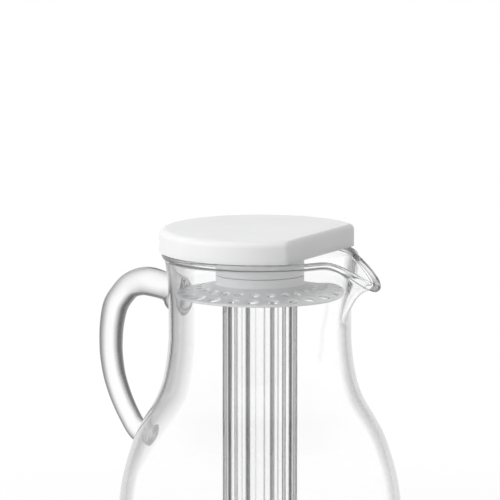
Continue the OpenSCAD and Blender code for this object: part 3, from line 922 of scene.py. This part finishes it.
def holed_cell(border, row_r, hole):
    """A cell with its hole: rings from the border over the hole's wall and back along the underside."""
    centre = np.array([row_r, 0])
    way = border - centre
    reach = np.linalg.norm(way, axis=1)
    way /= reach[:, None]
    plain = hole + HOLE_EDGE
    rings = []
    for q in np.linspace(1, 0, CELL_RINGS):
        d = plain + (reach - hole - HOLE_EDGE) * q
        rings.append((centre + way * d[:, None], True, 0))
    for g in np.linspace(0, QUARTER, CELL_RINGS)[1:]:
        d = hole + HOLE_EDGE * (1 - math.sin(g))
        rings.append((centre + way * d, True, HOLE_EDGE * (1 - math.cos(g))))
    for g in np.linspace(QUARTER, 0, CELL_RINGS):
        d = hole + HOLE_EDGE * (1 - math.sin(g))
        rings.append((centre + way * d, False, HOLE_EDGE * (1 - math.cos(g))))
    for q in np.linspace(0, 1, CELL_RINGS)[1:]:
        d = plain + (reach - hole - HOLE_EDGE) * q
        rings.append((centre + way * d[:, None], False, 0))
    grid = []
    for p, on_top, cut in rings:
        z = cone_z(np.hypot(p[:, 0], p[:, 1]))
        z = z - cut if on_top else z - STRAINER_T + cut
        grid.append(np.column_stack([p, z]))
    return np.array(grid)


def make_strainer():
    sector = TAU / HOLES
    inner_r, outer_r = LID_NECK_R + ROOT_ROUND, STRAINER_R - EDGE_W
    parts = []
    for row, (lo, hi) in enumerate(((inner_r, ROW_SPLIT_R), (ROW_SPLIT_R, outer_r))):
        cell = holed_cell(cell_border(lo, hi, sector), ROW_R[row], HOLE_R[row])
        for k in range(HOLES):
            turn = (k + 0.5) * sector
            c, s = math.cos(turn), math.sin(turn)
            spun = cell.copy()
            spun[..., 0] = cell[..., 0] * c - cell[..., 1] * s
            spun[..., 1] = cell[..., 0] * s + cell[..., 1] * c
            parts.append(sheet_of(spun))
    a = round_steps(HOLES * CELL_STEPS)
    zi, zo = cone_z(inner_r), cone_z(outer_r)
    corner_r = STRAINER_R - EDGE_CORNER
    corner_z = cone_z(corner_r)
    rim = rounded([
        (outer_r, zo, 0), (corner_r, corner_z, EDGE_ROUND), (STRAINER_R, EDGE_Z - EDGE_CORNER, EDGE_ROUND),
        (STRAINER_R, EDGE_Z - STRAINER_T + EDGE_CORNER, EDGE_ROUND),
        (corner_r, corner_z - STRAINER_T, EDGE_ROUND), (outer_r, zo - STRAINER_T, 0)
    ])
    parts.append(sheet_of(lathe(rim, a)))
    high = PART_Z - PART_GAP
    foot = ROOT_Z - STRAINER_T
    collar = rounded([
        (inner_r, zi, 0), (LID_NECK_R, ROOT_Z, ROOT_ROUND), (LID_NECK_R, high, COLLAR_ROUND),
        (COLLAR_IN_R, high, COLLAR_ROUND_IN), (COLLAR_IN_R, foot, SLEEVE_ROUND),
        (LID_NECK_R, foot, 0), (inner_r, zi - STRAINER_T, 0)
    ], COLLAR_ROUND_STEPS)
    parts.append(sheet_of(lathe(collar, a)))
    verts, faces = joined(parts)
    add_object("strainer_plate", verts, faces, "strainer", ["strainer"], white_strainer)


# Outlines of the lid: a circle with a straight cut, both with soft corners
def lid_shape(rows):
    """A closed shape from rows of (radius, cut, z), each a disc of that radius cut straight at x = cut."""
    near = np.linspace(-CUT_ANGLE, CUT_ANGLE, CUT_COLS)
    rest = np.linspace(CUT_ANGLE, TAU - CUT_ANGLE, DISC_COLS + 1)[1:-1]
    a = np.concatenate([near, rest])
    c = np.cos(a)
    grid = []
    for radius, cut, z in rows:
        flat = np.where(c > CUT_COSINE, cut / np.maximum(c, CUT_COSINE), NO_CUT)
        r = soft_min(np.full(len(a), radius), flat, min(CORNER_SOFT, CORNER_SHARE * radius))
        grid.append(np.stack([r * c, r * np.sin(a), np.full(len(a), z)], -1))
    return closed_sheet(np.array(grid), (0, 0, rows[0][2]), (0, 0, rows[-1][2]))


def make_cover():
    top_z = LID_Z + COVER_H
    hollow_z = top_z - COVER_T
    hollow_r, hollow_cut = COVER_R - COVER_T, POUR_CUT - COVER_T
    curve = COVER_HOLLOW_ROUND
    rows = [(t * hollow_r, t * hollow_cut, hollow_z) for t in CAP_RINGS_IN]
    for g in np.linspace(0, QUARTER, HOLLOW_STEPS):
        down = curve * (1 - math.sin(QUARTER - g))
        rows.append((hollow_r - curve + curve * math.sin(g), hollow_cut, hollow_z - down))
    rows += [(hollow_r + out, hollow_cut + out, LID_Z + up) for out, up in SKIRT_INSIDE]
    rows += [(COVER_R - inset, POUR_CUT - inset, LID_Z + up) for inset, up in SKIRT_OUTSIDE]
    for g in np.linspace(0, QUARTER, CAP_EDGE_STEPS):
        inset, down = 1 - math.cos(g), 1 - math.sin(g)
        rows.append((COVER_R - COVER_EDGE * inset, POUR_CUT - COVER_CUT_EDGE * inset,
                     top_z - COVER_EDGE * down))
    for t in CAP_RINGS_TOP:
        rows.append((t * (COVER_R - COVER_EDGE), t * (POUR_CUT - COVER_CUT_EDGE), top_z))
    verts, faces = lid_shape(rows)
    add_object("cover_cap", verts, faces, "lid", ["lid_cover"], white_cover)


def make_neck():
    plate_r, plate_cut = COVER_R - COVER_T - PLATE_GAP, POUR_CUT - COVER_T - PLATE_GAP
    rows = [(t * plate_r, t * plate_cut, LID_Z) for t in PLATE_RINGS_LOW]
    for g in np.linspace(0, QUARTER, PLATE_EDGE_STEPS):
        out, up = PLATE_ROUND * math.sin(g), PLATE_ROUND * (1 - math.cos(g))
        rows.append((plate_r - PLATE_ROUND + out, plate_cut - PLATE_ROUND + out, LID_Z + up))
    rows += [(t * plate_r, t * plate_cut, LID_Z + COVER_T) for t in PLATE_RINGS_TOP]
    plate = lid_shape(rows)
    catch_r, inner_r, web_top = SLEEVE_R + CATCH_OUT, LID_NECK_R - COVER_T, WEB_Z + WEB_T
    line = rounded([
        (WEB_IN_R, WEB_Z, 0), (SLEEVE_BORE_R, WEB_Z, WEB_ROUND),
        (SLEEVE_BORE_R, SLEEVE_END_Z, SLEEVE_ROUND), (SLEEVE_R - CATCH_OUT, SLEEVE_END_Z, SLEEVE_ROUND),
        (catch_r, CATCH_Z - CATCH_H, CATCH_ROUND), (catch_r, CATCH_Z, CATCH_ROUND),
        (SLEEVE_R, CATCH_Z, CATCH_ROUND_IN), (SLEEVE_R, PART_Z, CATCH_ROUND),
        (LID_NECK_R, PART_Z, COLLAR_ROUND), (LID_NECK_R, LID_Z, SEAT_ROUND),
        (LID_NECK_R + SEAT_OUT, LID_Z + SEAT_UP, 0), (inner_r, LID_Z + COVER_T, SLEEVE_ROUND),
        (inner_r, web_top, WEB_ROUND), (WEB_IN_R, web_top, 0)
    ], NECK_ROUND_STEPS)
    tube = closed_sheet(lathe(line, round_steps(NECK_COLS)), (0, 0, WEB_Z), (0, 0, web_top))
    verts, faces = joined([plate, tube])
    add_object("neck_piece", verts, faces, "lid", ["lid_neck"], white_neck)


make_body()
make_handle()
make_core()
make_seal()
make_strainer()
make_cover()
make_neck()

# Floor, world and lamps: lengths in metres, and for each lamp its place, aim, size and power in watts
FLOOR_R = 6
FLOOR_SIDES = 96
FLOOR_DROP = 0.0002
FLOOR_COLOUR = (0.62, 0.62, 0.62)
FLOOR_GLOW = 0.5
FLOOR_UNSEEN = (0.8, 0.8, 0.8)
FLOOR_FADE_FROM = 0.22
FLOOR_FADE_TO = 0.5
SKY = [(0.0, 1.0), (0.45, 1.0), (0.75, 0.55), (1.0, 0.4)]
ROOM_LIGHT = 0.42
LAMPS = [
    ("key", (-0.91, -1.0, 0.6), (0, 0, 0.2), (0.7, 0.9), 11),
    ("fill", (0.9, -1.2, 0.7), (0, 0, 0.15), (0.9, 0.9), 3),
    ("top", (0.1, -0.2, 1.5), (0, 0, 0.2), (0.9, 0.9), 8),
]


def make_floor():
    """A floor that keeps the part's shadow near it and fades to plain white further out."""
    bm = bmesh.new()
    bmesh.ops.create_circle(bm, cap_ends=True, segments=FLOOR_SIDES, radius=FLOOR_R)
    mesh = bpy.data.meshes.new("floor")
    bm.to_mesh(mesh)
    bm.free()
    obj = bpy.data.objects.new("floor", mesh)
    obj.location.z = -FLOOR_DROP
    bpy.context.scene.collection.objects.link(obj)
    mat = bpy.data.materials.new("floor")
    mat.use_nodes = True
    tree = mat.node_tree
    tree.nodes.clear()
    out = tree.nodes.new("ShaderNodeOutputMaterial")
    both = tree.nodes.new("ShaderNodeAddShader")
    tree.links.new(shader_of(tree, "BsdfDiffuse", FLOOR_COLOUR), both.inputs[0])
    tree.links.new(shader_of(tree, "Emission", strength=FLOOR_GLOW), both.inputs[1])
    where = tree.nodes.new("ShaderNodeTexCoord")
    length = tree.nodes.new("ShaderNodeVectorMath")
    length.operation = "LENGTH"
    tree.links.new(where.outputs["Object"], length.inputs[0])
    far = tree.nodes.new("ShaderNodeMapRange")
    far.inputs["From Min"].default_value = FLOOR_FADE_FROM
    far.inputs["From Max"].default_value = FLOOR_FADE_TO
    tree.links.new(length.outputs["Value"], far.inputs["Value"])
    shown = mixed(tree, far.outputs["Result"], both.outputs[0], shader_of(tree, "Emission"))
    path = tree.nodes.new("ShaderNodeLightPath").outputs
    seen = calc(tree, "MAXIMUM", path["Is Camera Ray"], path["Is Glossy Ray"])
    seen = calc(tree, "MAXIMUM", seen, path["Is Transmission Ray"])
    whole = mixed(tree, seen, shader_of(tree, "BsdfDiffuse", FLOOR_UNSEEN), shown)
    tree.links.new(whole, out.inputs["Surface"])
    mesh.materials.append(mat)


def make_world():
    """White behind the part, a room that gets greyer upwards in reflections, and even light."""
    world = bpy.data.worlds.new("room")
    world.use_nodes = True
    bpy.context.scene.world = world
    tree = world.node_tree
    tree.nodes.clear()
    out = tree.nodes.new("ShaderNodeOutputWorld")
    where = tree.nodes.new("ShaderNodeTexCoord")
    split = tree.nodes.new("ShaderNodeSeparateXYZ")
    tree.links.new(where.outputs["Generated"], split.inputs[0])
    shown = tree.nodes.new("ShaderNodeBackground")
    tree.links.new(ramp(tree, split.outputs["Z"], SKY), shown.inputs["Color"])
    light = tree.nodes.new("ShaderNodeBackground")
    light.inputs["Strength"].default_value = ROOM_LIGHT
    path = tree.nodes.new("ShaderNodeLightPath").outputs
    mirrored = calc(tree, "MAXIMUM", path["Is Glossy Ray"], path["Is Transmission Ray"])
    room = mixed(tree, mirrored, light.outputs[0], shown.outputs[0])
    whole = mixed(tree, path["Is Camera Ray"], room, shader_of(tree, "Background"))
    tree.links.new(whole, out.inputs["Surface"])


def lamp(name, place, target, size, power):
    """A rectangular lamp that shines on the part but is not seen in it."""
    data = bpy.data.lights.new(name, "AREA")
    data.shape = "RECTANGLE"
    data.size, data.size_y = size
    data.energy = power
    obj = bpy.data.objects.new(name, data)
    obj.location = place
    obj.rotation_mode = "QUATERNION"
    obj.rotation_quaternion = (Vector(target) - Vector(place)).to_track_quat("-Z", "Y")
    obj.visible_camera = False
    obj.visible_glossy = False
    obj.visible_transmission = False
    bpy.context.scene.collection.objects.link(obj)


make_floor()
make_world()
for values in LAMPS:
    lamp(*values)

# Camera: beside the part, turned towards its spout, looking a little down from a long way off, in metres
AZIMUTH = math.radians(28)
ELEVATION = math.radians(8.36)
DISTANCE = 3.0
FRAME_W = 0.32
SENSOR_W = 36
CLIP_NEAR = 0.1
CLIP_FAR = 50
AIM_Z = 0.2289
AIM_LEFT = 0.0064
AIM_UP = 0.0029
sin_a, cos_a = math.sin(AZIMUTH), math.cos(AZIMUTH)
sin_e, cos_e = math.sin(ELEVATION), math.cos(ELEVATION)
right = Vector((cos_a, sin_a, 0))
up = Vector((-sin_a * sin_e, cos_a * sin_e, cos_e))
back = Vector((sin_a * cos_e, -cos_a * cos_e, sin_e))
aim = Vector((0, 0, AIM_Z)) - right * AIM_LEFT + up * AIM_UP
camera = bpy.data.cameras.new("camera")
camera.sensor_width = SENSOR_W
camera.lens = SENSOR_W * DISTANCE / FRAME_W
camera.clip_start, camera.clip_end = CLIP_NEAR, CLIP_FAR
view = bpy.data.objects.new("camera", camera)
view.location = aim + back * DISTANCE
view.rotation_mode = "QUATERNION"
view.rotation_quaternion = back.to_track_quat("Z", "Y")
bpy.context.scene.collection.objects.link(view)
bpy.context.scene.camera = view
bpy.context.scene.view_settings.view_transform = "Standard"
